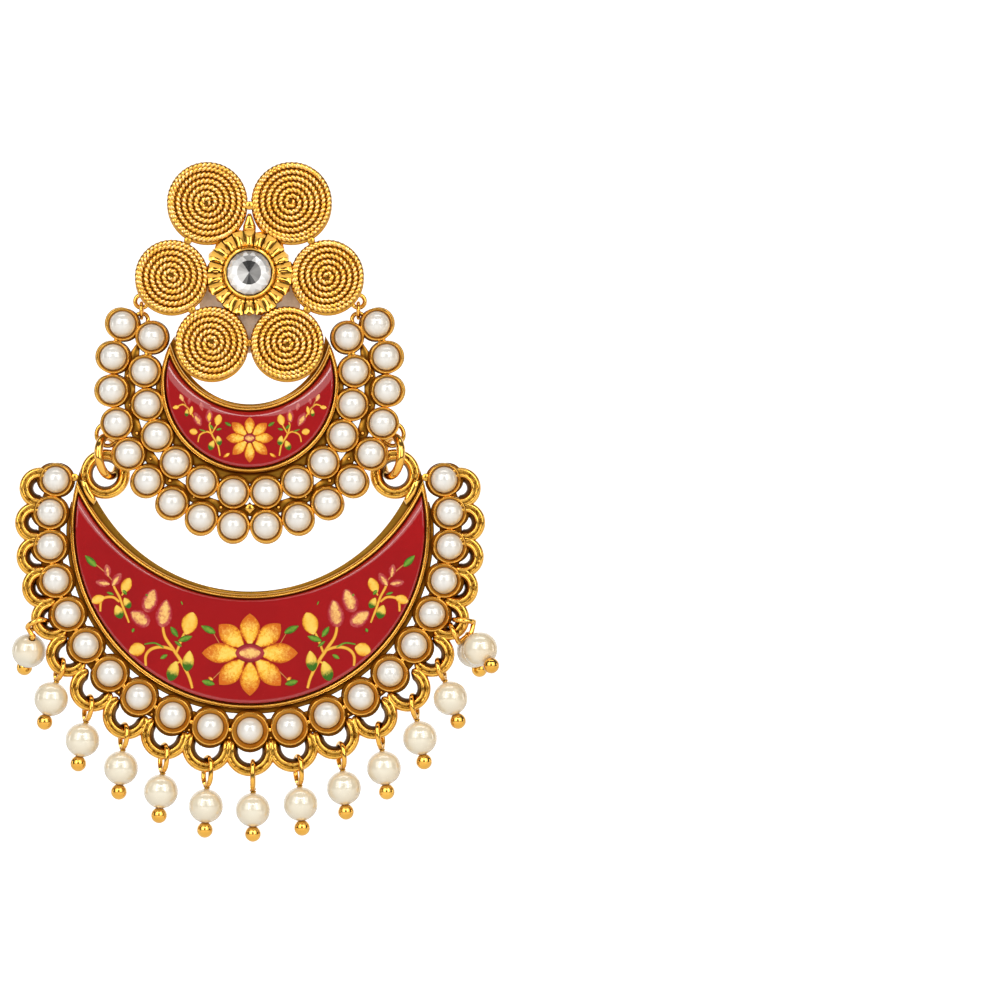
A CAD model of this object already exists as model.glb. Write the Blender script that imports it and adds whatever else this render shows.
"""Drop earring in two crescent tiers: the looks of its gold, pearls, enamel, stone and pad."""
from collections import namedtuple
from math import cos, hypot, log, pi, radians, sin, sqrt

import bmesh
import bpy
from bpy.props import FloatProperty, FloatVectorProperty, IntProperty, PointerProperty
from mathutils import Matrix, Vector


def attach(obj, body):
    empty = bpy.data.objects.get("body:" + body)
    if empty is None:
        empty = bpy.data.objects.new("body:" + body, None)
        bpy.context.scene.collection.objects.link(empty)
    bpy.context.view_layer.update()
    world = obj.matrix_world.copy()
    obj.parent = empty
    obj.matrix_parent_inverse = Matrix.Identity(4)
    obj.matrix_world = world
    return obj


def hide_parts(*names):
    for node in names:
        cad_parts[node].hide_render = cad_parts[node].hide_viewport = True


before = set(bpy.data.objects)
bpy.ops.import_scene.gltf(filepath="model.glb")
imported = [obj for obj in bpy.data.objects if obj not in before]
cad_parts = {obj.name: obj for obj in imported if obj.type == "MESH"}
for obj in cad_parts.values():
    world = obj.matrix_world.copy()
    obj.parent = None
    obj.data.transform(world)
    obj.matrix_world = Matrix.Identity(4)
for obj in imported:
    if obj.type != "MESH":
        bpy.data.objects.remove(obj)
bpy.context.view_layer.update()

bl_info = {
    "name": "Drop earring in two tiers",
    "version": (1, 0, 0),
    "blender": (4, 5, 0),
    "location": "3D View > Sidebar > Earring",
    "description": "Makes a two-tier crescent drop earring over its packed solids",
    "category": "Add Mesh",
}

# All sizes below are millimetres, x to the right, y to the back and z up, as in the solids
MM = 0.001
SIDES = (-1, 1)

# Points of a piece that are nearer than this are joined
SEAM = 0.0005

# Rope coils of the stud: x and z of the middle, and radius
COILS = [
    (s * x, z, r) for x, z, r in ((5.25, 12.5, 5.05), (9.7, 3.25, 4.6), (4.7, -5.05, 4.6)) for s in SIDES
]
COIL_BACK = -1.95
COIL_THICK = 1.3
COIL_DOME = 0.25

# Rosette, bezel and stone
STONE_Z = 3.7
STONE_R = 2.75
HUB_BACK = -1.05
HUB_FRONT = -2.9

# Hinge line of the upper tier, and the eyes and links on it
LINK_X = 13.55
STUD_EYE_Z = 0.2
LINK_Z = -0.94
TIER_EYE_Z = -2.08
EYE_R = 0.8
EYE_WIRE = 0.28
LINK_R = 0.95
LINK_WIRE = 0.25

# Upper tier: a pearl row has its half count, first angle, radius and flare past FLARE_FROM degrees
PearlRow = namedtuple("PearlRow", "half first r flare")
UPPER_ROW_Z = -10.88
UPPER_OUTER = PearlRow(9, 6.9, 17.13, 0.025)
UPPER_INNER = PearlRow(7, 9.1, 12.94, 0.031)
FLARE_FROM = 87
UPPER_TRAY = {"moon_z": -10.1, "moon_r": 11.15, "bite_z": -2.8, "bite_r": 10.14}
UPPER_BACK_BITE = (-3.2, 9.45)
UPPER_FLOOR = -0.9

# Lug eye behind the sixth cup of the outer row: x, z and radius
LUG = (17.79, -16.43, 1.42)

# Lower tier: each cup and its scallop, from the middle outwards
Setting = namedtuple("Setting", "angle r scallop_angle scallop_at scallop_r")
LOWER_ROWS = [Setting(*row) for row in (
    (0, 2.38, 0, 27.63, 2.5),
    (11.4, 2.35, 11.2, 27.63, 2.5),
    (22.6, 2.32, 22.5, 27.72, 2.42),
    (33.6, 2.3, 33.7, 27.85, 2.34),
    (44.3, 2.27, 44.8, 27.9, 2.25),
    (54.9, 2.24, 55.6, 27.57, 2.13),
    (65.2, 2.21, 65.8, 27.1, 2.03),
    (75.4, 2.18, 74.5, 26.85, 2.0),
    (85.3, 2.15, 82.9, 26.83, 1.93),
    (95.0, 2.12, 92.0, 26.85, 1.9),
    (104.5, 2.1, 101.3, 26.8, 1.9),
)]
LOWER_CUPS = range(1 - len(LOWER_ROWS), len(LOWER_ROWS))
LOWER_ROW_Z = -28.38
LOWER_ROW_R = 25.08
LOWER_TRAY = {"moon_z": -28.25, "moon_r": 22.5, "bite_z": -13.0, "bite_r": 23.44}
LOWER_BACK_BITE = (-14.25, 21.81)
LOWER_FLOOR = 0.45
SCALLOP_Y = 0.45
SCALLOP_OPEN = 122
BAR_R = 0.69

# Ring on each horn: x, z, radius of its middle line and y
BIG_RING = (18.13, -21.38, 2.44, 0.6)

# Jump rings: where the wire passes the lug and the big ring
JUMP_TOP = (17.95, -16.7)
JUMP_LOW = (17.44, -21.6)
JUMP_TURN = 28
JUMP_Y = 0.75
JUMP_WIRE = 0.55

SET_PEARL_R = 1.65
PEARL_CUT = 0.35
DROP_PEARL_R = 2.15
DROP_BALL_R = 1.0
DROP_WIRE_R = 0.33
BALL_DROP = 3.0
RING_EYE_R = 1.25

# Drops from left to right: scallop, angle of the hook round it, x and z of the pearl, how far it
# stands back and turn of the eye; a drop on a round eye also has a lean and a tip
Drop = namedtuple("Drop", "scallop hook x z back eye_turn lean tip", defaults=(None, None))
DROPS = [Drop(*row) for row in (
    (-6, -70, -27.75, -43.5, 1.6, -20, -17, 42),
    (-5, -30, -24.87, -49.5, 0, 20),
    (-4, -14, -20.96, -54.63, 0, 20),
    (-3, -8, -16.15, -58.13, 0, 20),
    (-2, -4, -11.15, -61.06, 0, 20),
    (-1, 1, -5.53, -62.88, 0, 22),
    (0, 8, 0.35, -63.38, 0, 0),
    (1, 15, 6.31, -62.63, 0, 18),
    (2, 18, 11.73, -60.63, 0, 18),
    (3, 19, 16.73, -58.13, 0, -12),
    (4, 22, 21.23, -54.38, 0, -12),
    (5, 31, 25.05, -49.42, 0, -12),
    (6, 84, 28.8, -43.25, -2.15, 0, 34, -36),
    (6, 25, 27.95, -43.5, 2.3, 0, 17, 35),
)]

# Middle of the picture and its width, in metres
VIEW_X = 0.03125
VIEW_Z = -0.024625
VIEW_WIDTH = 0.125


def colour(name, what, default):
    """A colour that a user may change."""
    return FloatVectorProperty(
        name=name, description=what, default=default, subtype="COLOR", size=3, min=0.0, max=1.0
    )


class EarringGold(bpy.types.PropertyGroup):
    """Gold plating and the dark finish in its recesses."""

    bright: colour("Polished", "Colour of the gold where it is rubbed bright", (0.94, 0.53, 0.075))
    deep: colour("Warm", "Colour of the gold where it is a little redder", (0.78, 0.37, 0.03))
    dark: colour("Recess", "Colour of the antique finish in the recesses", (0.105, 0.031, 0.0015))
    rubbed: colour("Rubbed crest", "Colour of the gold on the worn crests of the rope", (1.0, 0.86, 0.50))
    roughness: FloatProperty(
        name="Roughness", description="Roughness of the polished gold", default=0.13, min=0.02, max=0.8,
        subtype="FACTOR",
    )
    rope_pitch: FloatProperty(
        name="Rope pitch", description="Distance between two turns of a rope coil, in mm", default=0.75,
        min=0.5, max=1.2,
    )
    rope_lay: FloatProperty(
        name="Rope lay", description="Length of one full twist of the rope, in mm", default=1.16, min=0.6,
        max=2.0,
    )
    petals: IntProperty(
        name="Petals", description="Number of petals in the rosette", default=22, min=12, max=32
    )


class EarringPearl(bpy.types.PropertyGroup):
    """Set half pearls and hanging pearls."""

    white: colour("Set pearl", "Body colour of the half pearls", (0.62, 0.61, 0.585))
    cream: colour("Hanging pearl", "Body colour of the hanging pearls", (0.66, 0.61, 0.48))
    edge: colour("Edge", "Warm colour low on a set pearl, near its cup", (0.62, 0.42, 0.18))
    roughness: FloatProperty(
        name="Roughness", description="Roughness of the nacre", default=0.26, min=0.05, max=0.8,
        subtype="FACTOR",
    )


class EarringEnamel(bpy.types.PropertyGroup):
    """Red enamel and the colours that are painted under its glaze."""

    red: colour("Red", "Colour of the enamel", (0.31, 0.005, 0.0065))
    wine: colour("Wine", "Darker red in the clouds of the enamel", (0.24, 0.004, 0.0065))
    yellow: colour("Yellow", "Light yellow of petals and buds", (0.80, 0.44, 0.045))
    orange: colour("Orange", "Orange at the edge of the petals", (0.55, 0.12, 0.008))
    pink: colour("Pink", "Pink of the blossoms", (0.42, 0.060, 0.070))
    green: colour("Green", "Green of leaves and bud tips", (0.045, 0.155, 0.012))


class EarringStage(bpy.types.PropertyGroup):
    """Backdrop, lights and camera."""

    pale: colour("Backdrop", "Colour of the floor and the backdrop", (0.93, 0.93, 0.93))
    glow: FloatProperty(
        name="Backdrop glow", description="Light that the backdrop gives of itself", default=0.70, min=0.0,
        max=2.0,
    )
    box_light: FloatProperty(
        name="Soft boxes", description="Power of each of the two soft boxes, in watts", default=5.0,
        min=0.0, max=50.0, unit="POWER",
    )
    distance: FloatProperty(
        name="Camera distance", description="Distance from the lens to the earring", default=1.2, min=0.3,
        max=5.0, unit="LENGTH",
    )


class Shade:
    """A value that changes over a surface: a socket that takes + - * / and **."""

    def __init__(self, recipe, socket):
        self.recipe = recipe
        self.socket = socket

    def _work(self, operation, first, second, clamp=False):
        """Adds one step of arithmetic."""
        return self.recipe.add(
            "ShaderNodeMath", {"operation": operation, "use_clamp": clamp}, {0: first, 1: second}
        )

    def __add__(self, other):
        return self._work("ADD", self, other)

    __radd__ = __add__

    def __sub__(self, other):
        return self._work("SUBTRACT", self, other)

    def __rsub__(self, other):
        return self._work("SUBTRACT", other, self)

    def __mul__(self, other):
        return self._work("MULTIPLY", self, other)

    __rmul__ = __mul__

    def __truediv__(self, other):
        return self._work("DIVIDE", self, other)

    def __rtruediv__(self, other):
        return self._work("DIVIDE", other, self)

    def __pow__(self, other):
        return self._work("POWER", self, other)

    def clamp(self):
        """The value held between 0 and 1."""
        return self._work("ADD", self, 0.0, clamp=True)

    def size(self):
        """The value without its sign."""
        return self._work("ABSOLUTE", self, 0.0)


class Recipe:
    """Node tree of one finish, ending in its Principled shader."""

    def __init__(self, name, **constants):
        self.material = bpy.data.materials.new(name)
        self.material.use_nodes = True
        self.tree = self.material.node_tree
        self.shader = self.tree.nodes["Principled BSDF"]
        self.fill(self.shader, {key.replace("_", " "): value for key, value in constants.items()})

    def fill(self, made, values):
        """Sets the inputs of a node, or links them where the value is a Shade."""
        for key, value in values.items():
            if isinstance(value, Shade):
                self.tree.links.new(value.socket, made.inputs[key])
            else:
                made.inputs[key].default_value = value

    def add(self, kind, settings=None, values=None, out=0):
        """Adds a node: its settings first, then its sockets; gives one of its outputs."""
        made = self.tree.nodes.new(kind)
        for key, value in (settings or {}).items():
            if key == "stops":
                self.set_stops(made.color_ramp, value)
            else:
                setattr(made, key, value)
        self.fill(made, values or {})
        return Shade(self, made.outputs[out])

    def set_stops(self, ramp, stops):
        """Gives a colour ramp its places and colours."""
        while len(ramp.elements) < len(stops):
            ramp.elements.new(0.5)
        for element, (place, tone) in zip(ramp.elements, stops):
            element.position = place
            element.color = (*tone, 1.0)

    def spot(self):
        """Spot on the piece, in metres."""
        return self.add("ShaderNodeTexCoord", out="Object")

    def value(self, name):
        """One of the values that the bench wrote at the points."""
        return self.add("ShaderNodeAttribute", {"attribute_name": name}, out="Fac")

    def noise(self, spot, per_mm, detail=2.0, rough=0.5):
        """Soft noise with about per_mm cells in a millimetre."""
        return self.add(
            "ShaderNodeTexNoise",
            values={"Vector": spot, "Scale": per_mm / MM, "Detail": detail, "Roughness": rough},
        )

    def blend(self, share, first, second):
        """Mixes two colours."""
        ends = [end if isinstance(end, Shade) else (*end, 1.0) for end in (first, second)]
        return self.add("ShaderNodeMix", {"data_type": "RGBA"}, {0: share, 6: ends[0], 7: ends[1]}, out=2)

    def ramp(self, share, stops):
        """Colour at a share of a ramp."""
        return self.add("ShaderNodeValToRGB", {"stops": stops}, {"Fac": share})

    def bump(self, height, depth_mm, strength=1.0):
        """Normal of a surface with small bumps."""
        return self.add(
            "ShaderNodeBump", values={"Strength": strength, "Distance": depth_mm * MM, "Height": height},
            out="Normal",
        )

    def ends(self, **surface):
        """Fills the shader and gives the finished material."""
        self.fill(self.shader, {key.replace("_", " "): value for key, value in surface.items()})
        return self.material


def gold_finish(
    name, shelter_mm=0.5, shelter=0.7, speckle=0.0, dents=0.006, bright=1.0, gloss=1.0, worn=0.0, warmth=0.0,
):
    """Antique gold plating: bright where it is rubbed, brown where the metal is sheltered.

    shelter_mm is how far the shelter is felt and shelter how dark it gets, speckle the specks in
    grooves, dents their depth in mm, bright and warmth shift the colour, a gloss under 1 makes the
    surface smoother, and worn is how pale the crests are.
    """
    look = bpy.context.scene.earring_gold
    r = Recipe(name, Metallic=1.0, Coat_Roughness=0.10, Coat_IOR=1.7)
    spot = r.spot()
    fine = r.noise(spot, 3.2, 3.0, 0.6)
    cloud = r.noise(spot, 0.35, 2.0)
    recess = r.value("tarnish")
    open_air = r.add("ShaderNodeAmbientOcclusion", {"samples": 8}, {"Distance": shelter_mm * MM}, out="AO")
    dirt = ((1.0 - open_air) * shelter + recess + (fine - 0.5) * 0.12).clamp()
    if speckle:
        pits = r.noise(spot, 2.4, 2.0, 0.7)
        dirt = (dirt + r.value("groove") * ((pits - 0.52) * 9.0).clamp() * speckle).clamp()
    warm = r.blend((cloud * 1.6 - 0.3 + warmth).clamp(), [c * bright for c in look.bright], look.deep)
    if worn:
        patches = r.noise(spot, 1.3, 2.0, 0.6)
        crest = r.value("crest") * ((patches - 0.40) * 5.0).clamp() * worn
        warm = r.blend(crest.clamp(), warm, look.rubbed)
    base = r.blend(dirt ** 1.1, warm, look.dark)
    rough = dirt * 0.28 + (look.roughness * gloss + (fine - 0.5) * 0.05)
    return r.ends(
        Base_Color=base, Roughness=rough, Coat_Weight=(1.0 - dirt) ** 2 * 0.5, Normal=r.bump(fine, dents)
    )


def pearl_finish(name, body, edge_share):
    """Nacre: a soft bright body, warmer near the cup, with very faint rings of growth."""
    look = bpy.context.scene.earring_pearl
    r = Recipe(name, IOR=1.6, Coat_Weight=1.0, Coat_Roughness=0.10, Coat_IOR=2.0)
    spot = r.spot()
    cloud = r.noise(spot, 0.8, 3.0)
    fine = r.noise(spot, 5.0, 2.0)
    tint = r.blend(cloud * 0.5, body, [c * t for c, t in zip(body, (1.03, 0.98, 0.95))])
    base = r.blend((r.value("rim") ** 1.9 * edge_share).clamp(), tint, look.edge)
    return r.ends(Base_Color=base, Roughness=look.roughness + (fine - 0.5) * 0.08, Normal=r.bump(fine, 0.004))


def enamel_finish(name):
    """Deep red glass enamel with slow clouds and a wet gloss."""
    look = bpy.context.scene.earring_enamel
    r = Recipe(name, Coat_Weight=1.0, Coat_Roughness=0.03, Coat_IOR=1.56, Specular_IOR_Level=0.1)
    spot = r.spot()
    cloud = r.noise(spot, 0.09, 3.0)
    dust = r.noise(spot, 4.0, 2.0, 0.7)
    base = r.blend((cloud * 1.8 - 0.6 + r.value("rim") * 0.8).clamp(), look.red, look.wine)
    base = r.blend(((dust - 0.66) * 5.0).clamp() * 0.25, base, (0.5, 0.05, 0.03))
    return r.ends(Base_Color=base, Roughness=0.16 + cloud * 0.06, Normal=r.bump(cloud, 0.02))


def paint_finish(name, stops, streak, tip=None, tip_reach=5.0):
    """Paint under the glaze: colour from the middle of a stroke to its edge, with brush streaks."""
    r = Recipe(name, Coat_Weight=1.0, Coat_Roughness=0.03, Coat_IOR=1.56, Specular_IOR_Level=0.1)
    along = r.value("along")
    across = r.value("across")
    spot = r.spot()
    streaks = r.noise(spot, 3.0, 4.0, 0.75)
    patch = r.noise(spot, 0.7, 2.0)
    share = (across.size() ** 2.6 * 0.9 + (streaks - 0.44) * streak * 2.2 + (patch - 0.5) * 0.5).clamp()
    base = r.ramp(share, stops)
    if tip:
        base = r.blend((along * tip_reach - tip_reach * 0.48 + (streaks - 0.5) * 2.2).clamp(), base, tip)
    return r.ends(Base_Color=base, Roughness=0.22 + streaks * 0.1)


def stone_finish():
    """Foiled clear stone: each facet has its own tone under a hard gloss."""
    r = Recipe("clear_stone", Coat_Weight=1.0, Coat_Roughness=0.02, IOR=1.75, Metallic=0.1)
    spot = r.spot()
    drift = r.noise(spot, 0.5, 1.0)
    tone = (r.value("tone") + (drift - 0.5) * 0.22).clamp()
    stops = [
        (0.0, (0.012, 0.012, 0.013)), (0.35, (0.10, 0.10, 0.10)), (0.7, (0.46, 0.45, 0.44)),
        (1.0, (0.90, 0.90, 0.89)),
    ]
    base = r.ramp(tone, stops)
    return r.ends(Base_Color=base, Roughness=0.08 + drift * 0.06)


def pad_finish():
    """Beige comfort pad with a fine leather grain."""
    r = Recipe("pad_leather", Specular_IOR_Level=0.3)
    spot = r.spot()
    grain = r.add(
        "ShaderNodeTexVoronoi", {"feature": "SMOOTH_F1"}, {"Vector": spot, "Scale": 3.5 / MM},
        out="Distance",
    )
    cloud = r.noise(spot, 0.5, 3.0)
    base = r.blend((grain * 0.9 + cloud * 0.5 - 0.25).clamp(), (0.90, 0.76, 0.62), (0.78, 0.63, 0.49))
    return r.ends(Base_Color=base, Roughness=0.62 + cloud * 0.15, Normal=r.bump(grain, 0.03))


class Bench:
    """Points and faces of one piece while it is made, with a few values for each point.

    where is the matrix that new points go through, or None.
    """

    def __init__(self):
        self.points = []
        self.faces = []
        self.marks = {}
        self.where = None

    def skin(self, rows, closed=False, round_rows=True, **marks):
        """Joins equal rows of points; each mark is a number or a function of row and place."""
        first, wide, count = len(self.points), len(rows[0]), len(rows)
        for row in rows:
            self.points += [self.where @ Vector(p) for p in row] if self.where else [Vector(p) for p in row]
        for name, value in marks.items():
            kept = self.marks.setdefault(name, {})
            for i in range(count):
                for j in range(wide):
                    kept[first + i * wide + j] = value(i, j) if callable(value) else value
        for i in range(count if closed else count - 1):
            near, far = first + i * wide, first + (i + 1) % count * wide
            for j in range(wide if round_rows else wide - 1):
                k = (j + 1) % wide
                self.faces.append([near + j, near + k, far + k, far + j])

    def turned(self, spot, profile, steps=32, **marks):
        """Turned about a line along Y through spot; the profile holds radius, y and tarnish."""
        angles = [2 * pi * j / steps for j in range(steps)]
        rows = [[(spot[0] + r * cos(a), y, spot[1] + r * sin(a)) for a in angles] for r, y, _ in profile]
        self.skin(rows, tarnish=lambda i, j: profile[i][2], **marks)

    def moulding(self, stations, section, closed=False, taper=(), **marks):
        """A section of side, front and tarnish carried along stations of point, side and front."""
        sizes = [1.0] * len(stations)
        for i, size in enumerate(taper):
            sizes[i] = sizes[-1 - i] = size
        rows = [
            [p + (side * s + front * f) * size for s, f, _ in section]
            for (p, side, front), size in zip(stations, sizes)
        ]
        if not closed:
            rows = [[stations[0][0]] * len(section)] + rows + [[stations[-1][0]] * len(section)]
        self.skin(rows, closed=closed, tarnish=lambda i, j: section[j][2], **marks)

    def wire(self, path, r, sides=12, closed=False, tarnish=0.0):
        """Round wire of radius r along a path."""
        path = [Vector(p) for p in path]
        count = len(path)
        heading = []
        for i in range(count):
            ahead = path[(i + 1) % count] if closed or i < count - 1 else path[i]
            behind = path[i - 1] if closed or i > 0 else path[i]
            heading.append((ahead - behind).normalized())
        side = heading[0].orthogonal().normalized()
        turns = [2 * pi * j / sides for j in range(sides)]
        rows = []
        for point, way in zip(path, heading):
            side = (side - way * side.dot(way)).normalized()
            other = way.cross(side)
            rows.append([point + (side * cos(a) + other * sin(a)) * r for a in turns])
        if not closed:
            rows = [[path[0]] * sides] + rows + [[path[-1]] * sides]
        self.skin(rows, closed=closed, tarnish=tarnish)

    def hoop(self, centre, u, v, mid_r, wire_r, steps=48, sides=14, tarnish=0.0):
        """Closed ring of round wire in the plane of u and v."""
        centre, u, v = Vector(centre), Vector(u), Vector(v)
        turns = [2 * pi * i / steps for i in range(steps)]
        path = [centre + (u * cos(a) + v * sin(a)) * mid_r for a in turns]
        self.wire(path, wire_r, sides, closed=True, tarnish=tarnish)

    def ball(self, centre, r, steps=20, tarnish=0.0):
        """Ball whose poles lie along Y."""
        half = steps // 2
        turns = [pi * i / half for i in range(half + 1)]
        profile = [(r * sin(a), centre[1] + r * cos(a), tarnish) for a in turns]
        self.turned((centre[0], centre[2]), profile, steps)

    def peg(self, spot, back, front, r, tarnish=0.3):
        """Round pin along Y with softened edges."""
        edge = min(0.08, r / 3)
        profile = [
            (0, back, tarnish), (r - edge, back, tarnish), (r, back - edge, tarnish),
            (r, front + edge, tarnish), (r - edge, front, tarnish), (0, front, tarnish),
        ]
        self.turned(spot, profile, 20)

    def plate(self, outline, back, front, edge=0.12, tarnish=0.0, rise=0.0):
        """A flat piece with a softened front edge; rise lifts the middle of its face."""
        middle = (sum(p[0] for p in outline) / len(outline), sum(p[1] for p in outline) / len(outline))

        def ring(share, y):
            return [
                (middle[0] + (x - middle[0]) * share, y, middle[1] + (z - middle[1]) * share)
                for x, z in outline
            ]

        reach = max(hypot(x - middle[0], z - middle[1]) for x, z in outline)
        inset = 1 - edge / reach
        rows = [
            ring(0, back), ring(1, back), ring(1, front + edge),
            ring(inset + edge * 0.3 / reach, front + edge * 0.3), ring(inset, front),
            ring(0.5, front - rise * 0.7), ring(0, front - rise),
        ]
        self.skin(rows, tarnish=tarnish)


def show(name, mesh, body, finish, stands_for):
    """Makes the object of a piece and gives it its finish, its slot and its body."""
    mesh.materials.append(finish)
    made = bpy.data.objects.new(name, mesh)
    bpy.context.scene.collection.objects.link(made)
    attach(made, body)
    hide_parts(*stands_for)


def piece(name, bench, body, finish, stands_for, sharp=35.0):
    """Makes a piece from what is on the bench, smooth except at its sharp edges."""
    mesh = bpy.data.meshes.new(name)
    mesh.from_pydata([p * MM for p in bench.points], [], bench.faces)
    for mark, kept in bench.marks.items():
        values = [kept.get(i, 0.0) for i in range(len(bench.points))]
        mesh.attributes.new(mark, "FLOAT", "POINT").data.foreach_set("value", values)
    work = bmesh.new()
    work.from_mesh(mesh)
    bmesh.ops.remove_doubles(work, verts=work.verts, dist=SEAM * MM)
    bmesh.ops.recalc_face_normals(work, faces=work.faces)
    work.to_mesh(mesh)
    work.free()
    mesh.shade_smooth()
    mesh.set_sharp_from_angle(angle=radians(sharp))
    show(name, mesh, body, finish, stands_for)


def finish_of(name, maker, **options):
    """A finish that several pieces share is made once."""
    return bpy.data.materials.get(name) or maker(name, **options)


def polished():
    """Bright gold of links, pins, rims and the post."""
    return finish_of("gold_polished", gold_finish, shelter_mm=0.4, shelter=0.55, dents=0.004, gloss=0.75)


def antique():
    """Gold with dark specks in its grooves."""
    return finish_of("gold_antique", gold_finish, shelter_mm=0.5, shelter=0.6, speckle=0.6, gloss=0.75)


def cup_gold():
    """Gold of the pearl cups."""
    return finish_of("gold_cups", gold_finish, shelter_mm=0.25, shelter=0.26, dents=0.004, gloss=0.75)


def rope_gold():
    """Gold of the rope, with pale worn crests."""
    return finish_of(
        "gold_rope", gold_finish, shelter_mm=0.22, shelter=0.50, dents=0.010, bright=0.96, gloss=0.55,
        worn=0.85, warmth=0.3,
    )


def row_dir(angle):
    """Direction in the front view, by degrees off straight down."""
    return Vector((sin(radians(angle)), 0, -cos(radians(angle))))


def row_spot(r, z0, angle):
    """x and z of a spot on a round row, by degrees off straight down."""
    return (r * sin(radians(angle)), z0 - r * cos(radians(angle)))


def upper_spots(row):
    """Middles of a row's cups: the left half from the bottom up, then the right half."""
    spots = []
    for s in SIDES:
        for i in range(row.half):
            angle = s * row.first * (1 + 2 * i)
            r = row.r + row.flare * max(0.0, abs(angle) - FLARE_FROM)
            spots.append(row_spot(r, UPPER_ROW_Z, angle))
    return spots


def lower_row(k):
    """Setting number k of the lower row, 0 in the middle and negative to the left."""
    return LOWER_ROWS[abs(k)]


def side_of(k):
    """Side of the middle that a number is on."""
    return -1 if k < 0 else 1


def lower_spot(k):
    """Middle of cup number k of the lower row."""
    return row_spot(LOWER_ROW_R, LOWER_ROW_Z, side_of(k) * lower_row(k).angle)


def scallop_spot(k):
    """Middle of scallop number k."""
    return row_spot(lower_row(k).scallop_at, LOWER_ROW_Z, side_of(k) * lower_row(k).scallop_angle)


def arc_stations(spot, y, mid_r, start, end, steps):
    """Stations round a spot of the front view, from one angle to another off the bottom."""
    front = Vector((0, -1, 0))
    closed = abs(end - start) >= 359.9
    places = [start + (end - start) * i / (steps if closed else steps - 1) for i in range(steps)]
    return [(Vector((spot[0], y, spot[1])) + row_dir(a) * mid_r, row_dir(a), front) for a in places]


def crescent_edges(tray, inset, steps, bite=None):
    """Outer and hollow edge of a crescent, as points from the left horn to the right one."""
    moon_z, moon_r = tray["moon_z"], tray["moon_r"] - inset
    bite_z, bite_r = bite or (tray["bite_z"], tray["bite_r"])
    bite_r += inset
    span = bite_z - moon_z
    horn_z = moon_z + (moon_r ** 2 - bite_r ** 2 + span ** 2) / (2 * span)
    horn_x = sqrt(moon_r ** 2 - (horn_z - moon_z) ** 2)
    edges = []
    for z0, r in ((moon_z, moon_r), (bite_z, bite_r)):
        end = Vector((horn_x, z0 - horn_z)).angle(Vector((0, 1)))
        edges.append(
            [(r * sin(a), z0 - r * cos(a)) for a in (end * (2 * i / steps - 1) for i in range(steps + 1))]
        )
    return edges


# Section of a thick bar whose face has an outer band, a groove and a bright inner line
BAR = [
    (BAR_R, 0.0, 0.2), (0.66, 0.28, 0.0), (0.54, 0.50, 0.0), (0.36, 0.62, 0.0), (0.20, 0.61, 0.45),
    (0.09, 0.55, 0.7), (-0.03, 0.54, 0.75), (-0.13, 0.61, 0.45), (-0.25, 0.69, 0.0), (-0.38, 0.68, 0.0),
    (-0.49, 0.56, 0.0), (-0.58, 0.34, 0.7), (-BAR_R, 0.0, 1.0), (-0.64, -0.36, 0.9), (-0.40, -0.62, 0.5),
    (0.0, -BAR_R, 0.3), (0.40, -0.62, 0.3), (0.62, -0.36, 0.3),
]


def bar_section(inner_reach):
    """The bar's section, with the low part of its inner wall drawn in towards the hole."""
    drawn = []
    for s, f, t in BAR:
        if s < -0.5 and f < 0.5:
            s -= inner_reach * (0.5 - f)
        elif f <= -0.62 and s < 0:
            s -= inner_reach
        drawn.append((s, f, t))
    return drawn


def add_bar(bench, stations, inner_reach, closed):
    """Thick grooved bar along stations, with tapered ends where it is open."""
    def groove(i, j):
        return 1.0 if 4 <= j <= 7 else (0.3 if j == 3 else 0.0)

    taper = () if closed else (0.30, 0.62, 0.82, 0.94)
    bench.moulding(stations, bar_section(inner_reach), closed=closed, taper=taper, groove=groove)


def add_cup(bench, spot, back, front, base_r, lip, mouth_r, floor_y, floor_r):
    """Pearl cup with a thin rolled rim and a sloping inside."""
    top = base_r - 0.04
    roll = lip * 0.5
    deep_y = front + 0.14 + (mouth_r - floor_r) * 0.62
    outside = [
        (0, back, 0.5), (base_r - 0.3, back, 0.5), (base_r - 0.06, back - 0.16, 0.5),
        (base_r, back - 0.4, 0.45), (base_r, front + 0.42, 0.5), (base_r, front + 0.25, 0.2),
    ]
    rim = [
        (top + 0.03, front + 0.13, 0.1), (top + 0.01, front + 0.06, 0.0),
        (top - roll * 0.4, front - 0.01, 0.0), (top - roll, front - 0.05, 0.0),
        (top - roll * 1.6, front - 0.01, 0.0), (top - roll * 2, front + 0.07, 0.25),
    ]
    inside = [
        (mouth_r - 0.03, front + 0.10, 0.1),
        ((mouth_r + floor_r) / 2 - 0.02, front * 0.4 + deep_y * 0.6, 0.0), (floor_r, deep_y, 0.15),
        (floor_r - 0.03, deep_y + 0.1, 0.8), (floor_r - 0.04, floor_y, 1.0), (0, floor_y, 1.0),
    ]
    bench.turned(spot, outside + rim + inside, 36)


def add_skirt(bench, spot, middle_z, shift, back, front, r, tarnish):
    """Foot of a cup; shift moves it away from the middle of its row, or towards it below zero."""
    away = Vector((spot[0], spot[1] - middle_z)).normalized() * shift
    profile = [
        (0, back, tarnish), (r - 0.12, back, tarnish), (r, back - 0.1, tarnish),
        (r, front + 0.1, tarnish), (r - 0.1, front, tarnish), (0, front, tarnish),
    ]
    bench.turned((spot[0] + away.x, spot[1] + away.y), profile, 32)


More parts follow.
